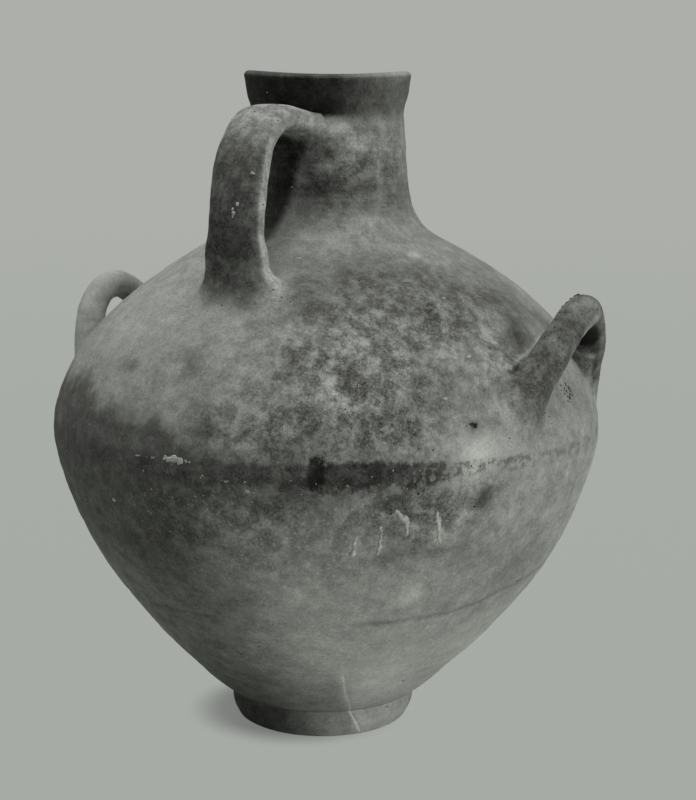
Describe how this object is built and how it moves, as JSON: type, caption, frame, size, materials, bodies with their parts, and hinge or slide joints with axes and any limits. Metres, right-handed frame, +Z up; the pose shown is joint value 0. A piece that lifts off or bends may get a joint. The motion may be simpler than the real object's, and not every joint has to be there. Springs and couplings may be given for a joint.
{
  "type": "clay hydria water jar",
  "caption": "Tall round-bellied clay water jar on a ring foot, with a short neck, an everted lip, a strap handle and upright side handles.",
  "frame": {"origin": "centre of the foot's resting face, on the jar's turning axis", "axes": "+Z up along the turning axis, the strap handle toward -Y, the side handles toward +X and -X"},
  "size_m": [0.3936, 0.377, 0.45],
  "materials": {
    "fired_clay": "unglazed, matt, weathered"
  },
  "bodies": {
    "root": {"foot_ring": "fired_clay", "lower_body": "fired_clay", "upper_body": "fired_clay", "neck_and_mouth": "fired_clay", "vertical_handle": "fired_clay", "right_side_handle": "fired_clay", "left_side_handle": "fired_clay"}
  },
  "joints": []
}
